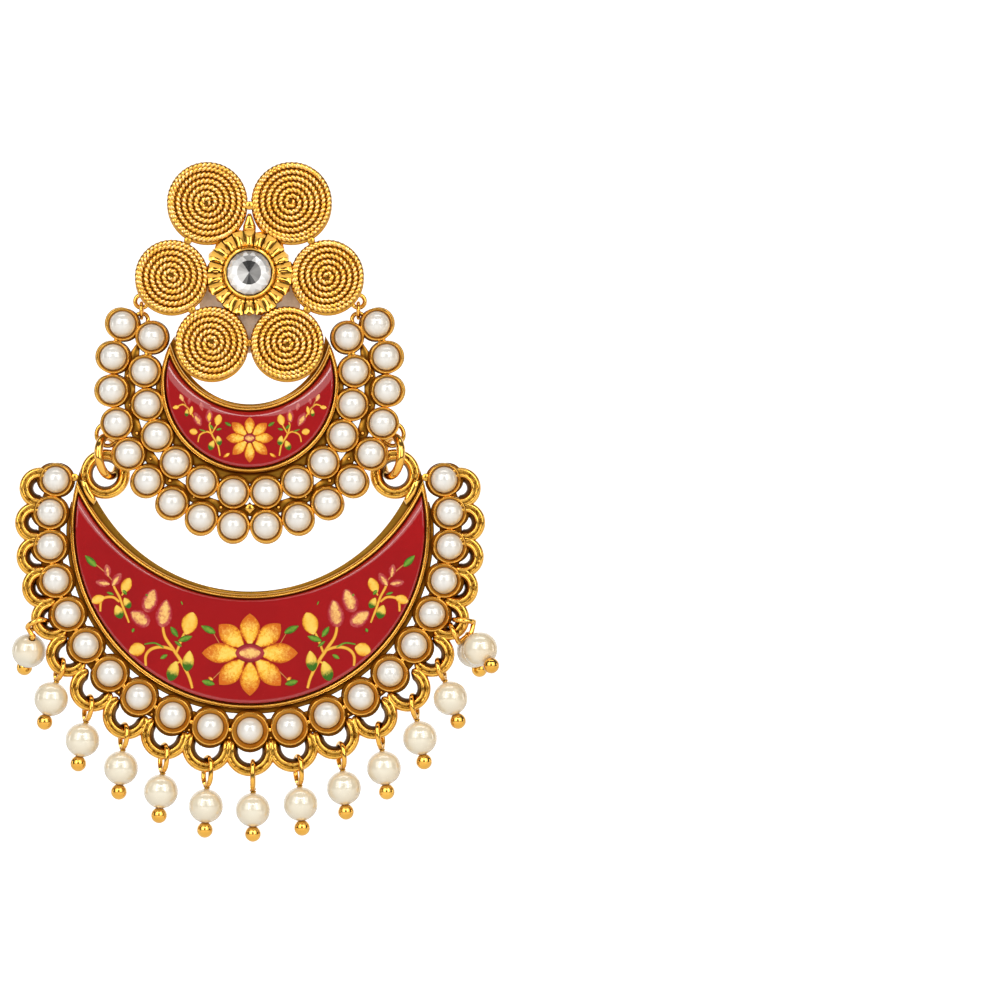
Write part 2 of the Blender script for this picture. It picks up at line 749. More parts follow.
def add_tray(bench, tray, back_bite, back, step, front, floor_y, steps=96):
    """Crescent tray: back plate, side wall, a rim of two fine lines, and the floor."""
    def loop(inset, y, bite):
        moon, hollow = crescent_edges(tray, inset, steps, bite)
        return [(x, y, z) for x, z in moon] + [(x, y, z) for x, z in reversed(hollow)]

    back_edge = (0.06, back, back_bite, 0.35)
    floor_edge = (0.53, floor_y, None, 1.0)
    side = [
        (0.0, back - 0.06, back_bite, 0.3), (0.0, step + 0.05, back_bite, 0.15),
        (0.03, step, back_bite, 0.62), (0.0, step - 0.06, None, 0.75), (0.0, front + 0.25, None, 0.3),
    ]
    outer_line = [
        (0.02, front + 0.10, None, 0.0), (0.08, front + 0.01, None, 0.0),
        (0.13, front + 0.03, None, 0.0), (0.17, front + 0.10, None, 0.4),
    ]
    inner_line = [
        (0.21, front + 0.04, None, 0.0), (0.27, front - 0.03, None, 0.0), (0.35, front - 0.06, None, 0.0),
        (0.43, front - 0.02, None, 0.0), (0.49, front + 0.09, None, 0.0), (0.52, front + 0.26, None, 0.6),
    ]
    walls = [back_edge] + side + outer_line + inner_line + [floor_edge]
    bench.skin([loop(inset, y, bite) for inset, y, bite, _ in walls], tarnish=lambda i, j: walls[i][3])
    for inset, y, bite, dark in (floor_edge, back_edge):
        moon, hollow = crescent_edges(tray, inset, steps, bite)
        rows = [[(x, y, z) for x, z in moon], [(x, y, z) for x, z in hollow]]
        bench.skin(rows, round_rows=False, tarnish=dark)


def add_band(bench, z0, half_angle, back, front, r_in, r_out, tarnish):
    """Flat openwork band that follows a pearl row, narrower towards its ends."""
    mid, half = (r_in + r_out) / 2, (r_out - r_in) / 2
    deep = (back - front) / 2
    soft = min(0.1, half / 2, deep / 2)
    section = [
        (half, -deep, 0.3), (half, deep - soft, tarnish), (half - soft, deep, tarnish), (0, deep, tarnish),
        (soft - half, deep, tarnish), (-half, deep - soft, tarnish), (-half, -deep, 0.3),
    ]
    stations = arc_stations((0, z0), (back + front) / 2, mid, -half_angle, half_angle, 90)
    bench.moulding(stations, section, taper=(0.25, 0.5, 0.75, 0.92))


# Stud


def add_coil_back(bench, x, z, rim):
    """Thin backing of a rope coil, with a second wall a little lower behind it."""
    backing = [
        (0, COIL_BACK, 0.3), (rim - 0.2, COIL_BACK, 0.3), (rim, COIL_BACK - 0.12, 0.1),
        (rim, COIL_BACK - 0.62, 0.05), (rim - 0.12, COIL_BACK - 0.8, 0.3),
        (rim - 0.4, COIL_BACK - 0.98, 0.6), (0, COIL_BACK - 1.2, 0.6),
    ]
    bench.turned((x, z), backing, 64)
    wall = [
        (rim - 0.5, COIL_BACK - 0.02, 0.3), (rim - 0.12, COIL_BACK - 0.02, 0.25),
        (rim, COIL_BACK - 0.15, 0.1), (rim, COIL_BACK - 0.6, 0.1), (rim - 0.08, COIL_BACK - 0.72, 0.25),
        (rim - 0.5, COIL_BACK - 0.75, 0.5),
    ]
    bench.turned((x, z - 0.32), wall, 64)


def coil_path(x, z, r, hand, pitch, step):
    """Middle line of the rope: one full turn on the rim, then a spiral to the middle."""
    rope_r = pitch / 2
    heart_r = 0.12
    outer = r - 0.01 - rope_r
    turns = (outer - heart_r) / pitch + 1
    path, place = [], 0.0
    while place < turns:
        q = max(outer - pitch * max(0.0, place - 1), heart_r)
        a = hand * 2 * pi * place + 0.7 * hand
        height = COIL_THICK + COIL_DOME * (1 - (q / r) ** 2) - rope_r
        path.append(Vector((x + q * cos(a), COIL_BACK - height, z + q * sin(a))))
        place += step / (2 * pi * max(q, 0.3))
    return path


def add_rope(bench, path, rope_r, twist_step):
    """Rope of two strands along a path; twist_step is how far it turns from point to point."""
    sides = 12
    front = Vector((0, -1, 0))
    last = len(path) - 1

    def from_strand(i, j):
        """Angle between a side of the rope and its strands."""
        return 2 * pi * j / sides - twist_step * i

    def groove(i, j):
        between_turns = max(0.0, abs(cos(2 * pi * j / sides)) - 0.8) * 2.2
        return min(1.0, 0.55 * (1 - abs(cos(from_strand(i - 1, j)))) ** 2 + between_turns)

    def crest(i, j):
        return max(0.0, sin(2 * pi * j / sides)) ** 5 * abs(cos(from_strand(i - 1, j))) ** 8

    rows = []
    for i, point in enumerate(path):
        way = (path[min(i + 1, last)] - path[max(i - 1, 0)]).normalized()
        across = way.cross(front).normalized()
        row = []
        for j in range(sides):
            a = 2 * pi * j / sides
            lobe = 0.60 + 0.40 * abs(cos(from_strand(i, j))) ** 0.8
            row.append(point + (across * cos(a) * 1.06 + front * sin(a)) * rope_r * lobe)
        rows.append(row)
    bench.skin([[path[0]] * sides] + rows + [[path[-1]] * sides], tarnish=groove, crest=crest)


def make_rope_coils(gold):
    """Six flat coils of twisted rope, each on a thin backing."""
    step = gold.rope_lay / 12
    for number, (x, z, r) in enumerate(COILS, 1):
        bench = Bench()
        hand = -1 if x < 0 else 1
        add_coil_back(bench, x, z, r - 0.02)
        path = coil_path(x, z, r, hand, gold.rope_pitch, step)
        add_rope(bench, path, gold.rope_pitch / 2, -hand * 2 * pi * step / gold.rope_lay)
        piece(f"rope_coil_{number}", bench, "stud", rope_gold(), ["stud_flower"], sharp=70)


def add_petal(bench, angle, start, end, width_in, width_out, low, high, dip):
    """Raised petal of the rosette: a rim round a shallow dip."""
    way, across = Vector((cos(angle), 0, sin(angle))), Vector((-sin(angle), 0, cos(angle)))
    middle = Vector((0, 0, STONE_Z))
    heights = [
        (-1.0, 0.0, 0.8), (-0.98, 0.86, 0.1), (-0.88, 1.0, 0.0), (-0.68, 1.0 - dip * 0.4, 0.1),
        (-0.4, 1.0 - dip * 0.85, 0.0), (0.0, 1.0 - dip, 0.0), (0.4, 1.0 - dip * 0.85, 0.0),
        (0.68, 1.0 - dip * 0.4, 0.1), (0.88, 1.0, 0.0), (0.98, 0.86, 0.1), (1.0, 0.0, 0.8),
    ]
    steps = 8
    rows = []
    for i in range(steps + 1):
        t = i / steps
        round_end = sqrt(max(0.0, 1 - max(0.0, (t - 0.80) / 0.20) ** 3.2))
        wide = (width_in + (width_out - width_in) * min(1.0, t * 1.15)) / 2 * max(0.08, round_end)
        rise = min(1.0, round_end * 1.25) * (0.55 + 0.45 * min(1.0, t * 5))
        dip_share = min(1.0, min(1.0, 2.2 * (1 - min(1.0, abs(t - 0.5) / 0.38))) + 0.05)
        row = []
        for s, h, _ in heights:
            if abs(s) <= 0.8:
                h = 1.0 - (1.0 - h) * dip_share
            row.append(
                middle + way * (start + (end - start) * t) + across * wide * s
                + Vector((0, low - (low - high) * h * rise, 0))
            )
        rows.append(row)
    bench.skin(rows, round_rows=False, tarnish=lambda i, j: heights[j][2])


def make_rosette(gold):
    """Hub, ring of petals and rays, bezel and top leaf."""
    bench = Bench()
    middle = (0, STONE_Z)
    hub = [
        (0, HUB_BACK, 0.4), (4.9, HUB_BACK, 0.4), (5.15, HUB_BACK - 0.2, 0.4),
        (5.15, HUB_FRONT + 0.3, 0.6), (5.0, HUB_FRONT + 0.12, 0.9), (3.0, HUB_FRONT + 0.08, 0.9),
        (0, HUB_FRONT + 0.08, 1.0),
    ]
    bench.turned(middle, hub, 72)
    for i in range(gold.petals):
        angle = 2 * pi * (i + 0.5) / gold.petals
        reach = (5.6, 5.35, 5.5)[i % 3]
        add_petal(
            bench, angle, start=3.15, end=reach, width_in=0.84, width_out=1.46, low=HUB_FRONT + 0.3,
            high=HUB_FRONT - 0.42, dip=0.36,
        )
        if i % 3 == 0:
            add_petal(
                bench, angle - pi / gold.petals, start=3.1, end=5.55, width_in=0.18, width_out=0.26,
                low=HUB_FRONT + 0.2, high=HUB_FRONT - 0.62, dip=0.0,
            )
    top = STONE_Z + 5.0
    top_leaf = [
        (-0.78, top), (0.78, top), (0.80, top + 0.8), (0.66, top + 1.2), (0.40, top + 1.95),
        (0.20, top + 2.4), (-0.20, top + 2.4), (-0.40, top + 1.95), (-0.66, top + 1.2), (-0.80, top + 0.8),
    ]
    bench.plate(top_leaf, COIL_BACK - 0.05, -3.3, edge=0.26, rise=0.14)
    leaf_foot = [(-0.70, top + 0.3), (0.70, top + 0.3), (0.62, top + 0.95), (-0.62, top + 0.95)]
    bench.plate(leaf_foot, -3.2, -3.48, edge=0.16, rise=0.08)
    for s in SIDES:
        # Pegs between two coils, then the eye for the small link and the peg that carries it
        bench.peg((s * 7.68, 7.72), COIL_BACK - 0.1, -3.0, 0.5, 0.4)
        bench.peg((s * 7.2, -0.9), COIL_BACK - 0.1, -3.0, 0.5, 0.4)
        bench.hoop((s * LINK_X, 0, STUD_EYE_Z), (1, 0, 0), (0, 0, 1), EYE_R, EYE_WIRE, 36, 12)
        bench.peg((s * (LINK_X - 0.58), STUD_EYE_Z + 0.56), 0.15, COIL_BACK - 0.4, 0.38, 0.2)
    bench.peg((0, -5.05), COIL_BACK - 0.1, -3.0, 0.45, 0.4)
    bench.peg((0, 12.1), COIL_BACK - 0.1, -3.2, 0.55, 0.2)
    petals = finish_of("gold_petals", gold_finish, shelter_mm=0.3, shelter=0.7)
    piece("rosette", bench, "stud", petals, ["stud_flower"], sharp=50)

    bench = Bench()
    foot = [
        (3.36, HUB_FRONT + 0.1, 0.6), (3.36, HUB_FRONT - 0.2, 0.3), (3.27, HUB_FRONT - 0.32, 0.5),
    ]
    lip = [
        (3.25, -3.75, 0.1), (3.22, -3.98, 0.0), (3.13, -4.14, 0.0), (3.02, -4.19, 0.0),
        (2.92, -4.16, 0.0), (2.84, -4.06, 0.25),
    ]
    seat = [(2.80, -3.9, 1.0), (2.79, -3.3, 1.0), (0, -3.26, 1.0), (0, HUB_FRONT + 0.1, 1.0)]
    bench.turned(middle, foot + lip + seat + foot[:1], 72)
    piece("bezel", bench, "stud", polished(), ["stud_flower"])


# Tones of the table's facets and of the slope round it, anticlockwise from the right
TABLE_TONES = [0.48, 0.50, 0.46, 0.14, 0.08, 0.16, 0.66, 0.74, 0.80, 0.86, 0.84, 0.40, 0.14, 0.30, 0.50, 0.46]
SLOPE_TONES = [0.86, 0.76, 0.66, 0.60, 0.54, 0.60, 0.66, 0.86, 0.97, 1.0, 1.0, 1.0, 0.86, 0.80, 0.88, 0.94]


def make_stone():
    """Cut stone: a table over star-like facets, a slope of kites and a closed back."""
    girdle_y, table_y, star_y, seat_y = -3.95, -4.78, -4.50, -3.28
    table_r, star_r, seat_r = 1.52, 2.18, 1.3
    count = len(TABLE_TONES)

    def ring(r, y, shift=0.0):
        angles = [2 * pi * (i + shift - 0.5) / count for i in range(count)]
        return [Vector((r * cos(a), y, STONE_Z + r * sin(a))) for a in angles]

    points = [Vector((0, table_y - 0.01, STONE_Z))]
    points += ring(table_r, table_y)
    points += ring(star_r, star_y, 0.5)
    points += ring(STONE_R, girdle_y)
    points += ring(STONE_R * 0.96, girdle_y + 0.12)
    points += ring(seat_r, seat_y)
    table, star, girdle, under, seat = (1 + n * count for n in range(5))
    faces, tones = [], []

    def facet(tone, *corners):
        faces.append(corners)
        tones.append(tone)

    for i in range(count):
        j = (i + 1) % count
        facet(TABLE_TONES[i], 0, table + i, table + j)
        facet(SLOPE_TONES[i], table + i, star + i, table + j)
        facet((SLOPE_TONES[i] + SLOPE_TONES[j]) / 2 - 0.05, table + j, star + i, star + j)
        facet(SLOPE_TONES[i] * 0.85, star + i, girdle + i, girdle + j)
        facet(SLOPE_TONES[j] * 0.95, star + i, girdle + j, star + j)
        facet(0.35, girdle + i, under + i, under + j, girdle + j)
        facet(0.30, under + i, seat + i, seat + j, under + j)
    facet(0.30, *(seat + i for i in range(count)))
    mesh = bpy.data.meshes.new("cut_stone")
    mesh.from_pydata([p * MM for p in points], [], faces)
    mesh.attributes.new("tone", "FLOAT", "FACE").data.foreach_set("value", tones)
    work = bmesh.new()
    work.from_mesh(mesh)
    bmesh.ops.recalc_face_normals(work, faces=work.faces)
    work.to_mesh(mesh)
    work.free()
    show("cut_stone", mesh, "stud", stone_finish(), ["centre_stone"])


def make_pad():
    """Comfort pad with a soft edge, and the polished finish of the post."""
    bench = Bench()
    profile = [
        (0.55, 0.0, 0), (0.62, 0.0, 0), (5.9, 0.0, 0), (6.15, -0.06, 0), (6.28, -0.22, 0), (6.3, -0.5, 0),
        (6.28, -0.78, 0), (6.15, -0.94, 0), (5.9, -1.0, 0), (0.62, -1.0, 0), (0.55, -1.0, 0),
        (0.55, 0.0, 0),
    ]
    bench.turned((0, 0), profile, 72)
    piece("soft_pad", bench, "stud", pad_finish(), ["comfort_pad"], sharp=60)
    give_finish("ear_post", polished())


def give_finish(node, finish):
    """Puts a finish on a node of the packed model that keeps its own shape."""
    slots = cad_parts[node].material_slots
    for slot in slots:
        slot.material = finish
    if not len(slots):
        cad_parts[node].data.materials.append(finish)


# Upper tier


def make_links():
    """Small links between the stud and the upper tier, and the big jump rings."""
    wide, high = JUMP_TOP[0] - JUMP_LOW[0], JUMP_TOP[1] - JUMP_LOW[1]
    for s, hand in ((-1, "left"), (1, "right")):
        bench = Bench()
        bench.hoop((s * LINK_X, 0, LINK_Z), (0, 1, 0), (0, 0, 1), LINK_R, LINK_WIRE, 40, 12)
        piece(f"small_link_{hand}", bench, "upper_tier", polished(), [f"top_link_{hand}"])

        lean = Matrix.Rotation(Vector((high, wide)).angle_signed(Vector((1, 0))) * s, 3, "Y")
        turn = Matrix.Rotation(radians(s * JUMP_TURN), 3, "Z")
        u, v = lean @ turn @ Vector((0, 1, 0)), lean @ turn @ Vector((0, 0, 1))
        middle = (s * (JUMP_TOP[0] + JUMP_LOW[0]) / 2, JUMP_Y, (JUMP_TOP[1] + JUMP_LOW[1]) / 2)
        bench = Bench()
        bench.hoop(middle, u, v, hypot(wide, high) / 2, JUMP_WIRE, 96, 20)
        piece(f"big_jump_ring_{hand}", bench, "lower_tier", polished(), [f"jump_ring_{hand}"])


def make_upper_frame():
    """Cups, crescent tray, openwork bands, granules and eyes of the upper tier."""
    bench = Bench()
    for spot in upper_spots(UPPER_OUTER) + upper_spots(UPPER_INNER):
        add_cup(
            bench, spot, back=-0.55, front=-1.6, base_r=2.08, lip=0.26, mouth_r=1.80, floor_y=-0.93,
            floor_r=1.68,
        )
    for spot in upper_spots(UPPER_OUTER):
        # The jump ring needs the room behind the cup that hides the lug eye
        if hypot(abs(spot[0]) - LUG[0], spot[1] - LUG[1]) > 2.5:
            add_skirt(bench, spot, UPPER_ROW_Z, shift=0.22, back=-0.6, front=-1.25, r=2.03, tarnish=0.35)
            add_skirt(bench, spot, UPPER_ROW_Z, shift=-0.22, back=-0.58, front=-1.1, r=2.12, tarnish=1.0)
    for spot in upper_spots(UPPER_INNER):
        add_skirt(bench, spot, UPPER_ROW_Z, shift=-0.12, back=-0.58, front=-1.12, r=2.16, tarnish=1.0)
    piece("upper_cups", bench, "upper_tier", cup_gold(), ["upper_frame"], sharp=50)

    bench = Bench()
    add_tray(bench, UPPER_TRAY, UPPER_BACK_BITE, back=0.1, step=-0.7, front=-1.6, floor_y=-0.93)
    piece("upper_tray", bench, "upper_tier", polished(), ["upper_frame"], sharp=50)

    bench = Bench()
    band = {"back": -0.5, "front": -1.0, "tarnish": 0.78}
    add_band(bench, UPPER_ROW_Z, half_angle=113, r_in=14.3, r_out=15.8, **band)
    add_band(bench, UPPER_ROW_Z, half_angle=104, r_in=10.3, r_out=11.75, **band)
    add_granules(bench)
    for row in (UPPER_OUTER, UPPER_INNER):
        # A peg joins the last two cups at each end of a row
        spots = upper_spots(row)
        for last in (row.half - 1, 2 * row.half - 1):
            a, b = spots[last], spots[last - 1]
            bench.peg(((a[0] + b[0]) / 2, (a[1] + b[1]) / 2), -0.65, -1.25, 0.5, 0.2)
    add_upper_eyes(bench)
    piece("upper_openwork", bench, "upper_tier", antique(), ["upper_frame"], sharp=50)


def add_granules(bench):
    """Small balls between the two pearl rows, and the diamond plate at their bottom."""
    for s in SIDES:
        for i in range(UPPER_OUTER.half):
            angle = s * UPPER_OUTER.first * 2 * i
            if (i or s > 0) and abs(angle) < 104:
                r = 15.1 + UPPER_OUTER.flare * max(0.0, abs(angle) - FLARE_FROM)
                x, z = row_spot(r, UPPER_ROW_Z, angle)
                bench.ball((x, -1.05, z), 0.27 if i % 2 else 0.2, 14, 0.1)
    x, z = row_spot(14.78, UPPER_ROW_Z, 0)
    reach = 0.78
    diamond = [(x - reach, z), (x, z - reach), (x + reach, z), (x, z + reach)]
    bench.plate(diamond, -0.62, -1.3, edge=0.14, tarnish=0.2, rise=0.12)


def add_upper_eyes(bench):
    """Eyes for the small links and lug eyes for the jump rings, each with its pegs."""
    x, z, lug_r = LUG
    for s in SIDES:
        bench.hoop((s * LINK_X, 0, TIER_EYE_Z), (1, 0, 0), (0, 0, 1), EYE_R, EYE_WIRE, 36, 12)
        bench.peg((s * (LINK_X + 0.78), TIER_EYE_Z - 0.3), 0.15, -0.75, 0.36, 0.3)
        bench.hoop((s * x, 0.6, z), (1, 0, 0), (0, 0, 1), lug_r, EYE_WIRE, 48, 12, tarnish=0.25)
        for a in (radians(80), radians(45)):
            bench.peg((s * (x - lug_r * cos(a)), z + lug_r * sin(a)), 0.75, -0.75, 0.3, 0.4)


def add_half_pearl(bench, spot, floor_y):
    """Half pearl with its flat back on the cup's floor."""
    back = floor_y - 0.05
    middle = back - PEARL_CUT
    steps, sides = 11, 32
    start = -PEARL_CUT / SET_PEARL_R
    profile = [(0, back, 0), (sqrt(SET_PEARL_R ** 2 - PEARL_CUT ** 2), back, 0)]
    for i in range(1, steps + 1):
        a = start + (pi / 2 - start) * i / steps
        profile.append((SET_PEARL_R * cos(a), middle - SET_PEARL_R * sin(a), 0))

    def rim(i, j):
        """Share of the warm edge, which is stronger at the lower right; the hidden back is all edge."""
        if i < 2:
            return 1.0
        low_right = 0.68 + 0.32 * cos(2 * pi * j / sides + pi / 4)
        return min(1.0, profile[i][0] / SET_PEARL_R) * low_right

    bench.turned(spot, profile, sides, rim=rim)


def make_set_pearls():
    """Half pearls of the three rows."""
    look = bpy.context.scene.earring_pearl
    finish = finish_of("pearl_white", pearl_finish, body=look.white, edge_share=0.95)
    lower_spots = [lower_spot(k) for k in LOWER_CUPS]
    rows = [
        ("outer_half_pearls", upper_spots(UPPER_OUTER), UPPER_FLOOR, "upper_tier", "upper_pearls_outer"),
        ("inner_half_pearls", upper_spots(UPPER_INNER), UPPER_FLOOR, "upper_tier", "upper_pearls_inner"),
        ("lower_half_pearls", lower_spots, LOWER_FLOOR, "lower_tier", "lower_pearls"),
    ]
    for name, spots, floor_y, body, node in rows:
        bench = Bench()
        for spot in spots:
            add_half_pearl(bench, spot, floor_y)
        piece(name, bench, body, finish, [node], sharp=60)


# Lower tier


def make_lower_frame():
    """Cups, crescent tray, scallops, bands and horn rings of the lower tier."""
    bench = Bench()
    for k in LOWER_CUPS:
        r, spot = lower_row(k).r, lower_spot(k)
        add_cup(
            bench, spot, back=0.85, front=-0.25, base_r=r, lip=0.26, mouth_r=r - 0.28, floor_y=0.43,
            floor_r=1.69,
        )
        add_skirt(bench, spot, LOWER_ROW_Z, shift=0.42, back=0.8, front=0.2, r=r - 0.06, tarnish=0.95)
        add_skirt(bench, spot, LOWER_ROW_Z, shift=-0.22, back=0.78, front=0.26, r=r + 0.10, tarnish=1.0)
    piece("lower_cups", bench, "lower_tier", cup_gold(), ["lower_frame"], sharp=50)

    bench = Bench()
    for k in LOWER_CUPS:
        row = lower_row(k)
        a = side_of(k) * row.scallop_angle
        stations = arc_stations(
            scallop_spot(k), SCALLOP_Y, row.scallop_r, a - SCALLOP_OPEN, a + SCALLOP_OPEN, 44,
        )
        add_bar(bench, stations, inner_reach=0.5 if abs(k) > 6 else 0.42, closed=False)
    x, z, mid_r, y = BIG_RING
    leaf = [
        (21.25, -22.2), (20.6, -22.0), (20.0, -23.2), (19.2, -24.6), (19.5, -25.3), (20.0, -24.8),
        (20.6, -23.9),
    ]
    for s in SIDES:
        add_bar(bench, arc_stations((s * x, z), y, mid_r, 0, 360, 72), inner_reach=0.3, closed=True)
        bench.plate([(s * px, pz) for px, pz in leaf], 0.55, -0.4, edge=0.22, rise=0.12)
        bench.peg((s * 21.95, -21.8), 0.8, 0.0, 0.5, 0.25)
    piece("scallops_and_rings", bench, "lower_tier", antique(), ["lower_frame"], sharp=60)

    bench = Bench()
    add_tray(
        bench, LOWER_TRAY, LOWER_BACK_BITE, back=1.45, step=0.55, front=-0.25, floor_y=0.43, steps=160,
    )
    piece("lower_tray", bench, "lower_tier", polished(), ["lower_frame"], sharp=50)

    bench = Bench()
    end = LOWER_ROWS[-1].angle + 1
    add_band(bench, LOWER_ROW_Z, end, back=0.95, front=0.36, r_in=23.7, r_out=26.5, tarnish=0.88)
    add_band(bench, LOWER_ROW_Z, 99, back=0.95, front=0.35, r_in=22.1, r_out=23.0, tarnish=0.88)
    for k in LOWER_CUPS[:-1]:
        # A peg between two cups, and near the middle of the row a granule below it
        a = (side_of(k) * lower_row(k).angle + side_of(k + 1) * lower_row(k + 1).angle) / 2
        bench.peg(row_spot(LOWER_ROW_R, LOWER_ROW_Z, a), 0.5, -0.14, 0.26, 0.0)
        if -4 <= k < 4:
            x, z = row_spot(26.1, LOWER_ROW_Z, a)
            bench.ball((x, 0.36, z), 0.2, 14, 0.1)
    piece("lower_openwork", bench, "lower_tier", antique(), ["lower_frame"], sharp=50)


# Enamel and its painted flowers


class Panel:
    """Domed enamel panel of a tray: gives the height of its face at any spot."""

    def __init__(self, tray, edge, low, high, moon_roll, hollow_roll):
        self.tray, self.edge, self.low, self.high = tray, edge, low, high
        self.moon_roll, self.hollow_roll = moon_roll, hollow_roll

    def share(self, x, z):
        """How far up the rolled edge a spot is: 0 at the edge of the panel, 1 on its open face."""
        t = self.tray
        at_middle, at_horn = self.hollow_roll
        wide = at_middle + (at_horn - at_middle) * min(1.0, abs(x) / t["moon_r"]) ** 2
        moon = (t["moon_r"] - self.edge - hypot(x, z - t["moon_z"])) / self.moon_roll
        hollow = (hypot(x, z - t["bite_z"]) - t["bite_r"] - self.edge) / wide
        return min(1.0, max(0.0, min(moon, hollow)))

    def face(self, x, z):
        """Y of the enamel's face at a spot."""
        return self.low - (self.low - self.high) * sqrt(1 - (1 - self.share(x, z)) ** 2)

    def build(self, bench, back, steps):
        """Skins the panel's face and its flat back."""
        moon, hollow = crescent_edges(self.tray, self.edge, steps)
        # Shares of the way from the outer to the hollow edge, closest where the face rolls down
        shares = [
            0, 0.004, 0.012, 0.025, 0.045, 0.07, 0.10, 0.15, 0.22, 0.32, 0.44, 0.56, 0.68, 0.78, 0.85, 0.90,
            0.93, 0.955, 0.975, 0.988, 0.996, 1,
        ]
        rows = [[(x, back, z) for x, z in moon]]
        for share in shares:
            row = []
            for (x1, z1), (x2, z2) in zip(moon, hollow):
                x, z = x1 + (x2 - x1) * share, z1 + (z2 - z1) * share
                row.append((x, self.face(x, z), z))
            rows.append(row)
        rows.append([(x, back, z) for x, z in hollow])
        last = len(rows) - 1

        def rim(i, j):
            return 1.0 if i < 2 or i > last - 2 else 0.0

        bench.skin(rows, round_rows=False, rim=rim)
        bench.skin([rows[0], rows[-1]], round_rows=False, rim=1.0)


# How far paint lies over the enamel, and each stroke over the one before it
PAINT_LIFT = 0.012
STROKE_LIFT = 0.0004


class Brush:
    """Paints leaves and stems on a panel, in x and z from the flower's middle, and mirrors a sprig."""

    def __init__(self, panel, middle):
        self.panel, self.middle = panel, middle
        self.pots = {}
        self.lift = PAINT_LIFT

    def on(self, x, z, s):
        """Spot of the paint on the panel; s is -1 on the mirrored side."""
        x, z = self.middle[0] + x * s, self.middle[1] + z
        return (x, self.panel.face(x, z) - self.lift, z)

    def leaf(self, pot, foot, tip, width, full=0.5, point=0.8, s=1):
        """A leaf, petal or bud from foot to tip; full is where it is widest, point how slim its ends are."""
        dx, dz = tip[0] - foot[0], tip[1] - foot[1]
        length = hypot(dx, dz)
        ux, uz = dx / length, dz / length
        power = log(0.5) / log(full)
        steps, across = 14, 6
        rows = []
        for i in range(steps + 1):
            t = i / steps
            wide = width / 2 * max(0.0, sin(pi * t ** power)) ** point
            row = []
            for j in range(across + 1):
                q = (2 * j / across - 1) * wide
                row.append(self.on(foot[0] + ux * length * t - uz * q, foot[1] + uz * length * t + ux * q, s))
            rows.append(row)
        self.pots.setdefault(pot, Bench()).skin(
            rows, round_rows=False, along=lambda i, j: i / steps, across=lambda i, j: 2 * j / across - 1
        )
        self.lift += STROKE_LIFT

    def stem(self, pot, points, width, s=1):
        """A brush line through points, thinner at its ends."""
        fine = smooth_line(points, 6)
        rows = []
        last = len(fine) - 1
        for i, (x, z) in enumerate(fine):
            ax, az = fine[min(i + 1, last)]
            bx, bz = fine[max(i - 1, 0)]
            length = hypot(ax - bx, az - bz) or 1.0
            nx, nz = -(az - bz) / length, (ax - bx) / length
            wide = width / 2 * (0.45 + 0.55 * sqrt(max(0.0, sin(pi * (0.08 + 0.84 * i / last)))))
            rows.append([self.on(x + nx * wide * q, z + nz * wide * q, s) for q in (-1, -0.5, 0, 0.5, 1)])
        self.pots.setdefault(pot, Bench()).skin(
            rows, round_rows=False, along=lambda i, j: i / last, across=lambda i, j: j / 2 - 1
        )
        self.lift += STROKE_LIFT


def curve_value(a, b, c, d, t):
    """Value at a share t of the way from b to c, on a smooth curve through a, b, c and d."""
    square = (2 * a - 5 * b + 4 * c - d) * t * t
    cube = (3 * b - a - 3 * c + d) * t ** 3
    return 0.5 * (2 * b + (c - a) * t + square + cube)


def smooth_line(points, between):
    """A smooth line through the given points."""
    fine = []
    last = len(points) - 1
    for i in range(last):
        corners = [points[max(0, min(last, n))] for n in (i - 1, i, i + 1, i + 2)]
        for j in range(between):
            fine.append(tuple(curve_value(*values, j / between) for values in zip(*corners)))
    fine.append(points[-1])
    return fine


def paint_flower(brush, petals, heart, width):
    """Eight petals round a ringed heart; each petal is its turn off the right and its reach."""
    for turn, reach in petals:
        a = radians(turn)
        start = heart[0] * 0.45
        foot, tip = (start * cos(a), start * sin(a)), (reach * cos(a), reach * sin(a))
        brush.leaf("petal", foot, tip, width, full=0.56, point=0.85)
    for rx, rz, pot in ((heart[0], heart[1], "rose"), (heart[0] * 0.72, heart[1] * 0.62, "blossom")):
        brush.lift += 0.003
        brush.leaf(pot, (-rx, 0), (rx, 0), 2 * rz, full=0.5, point=0.5)


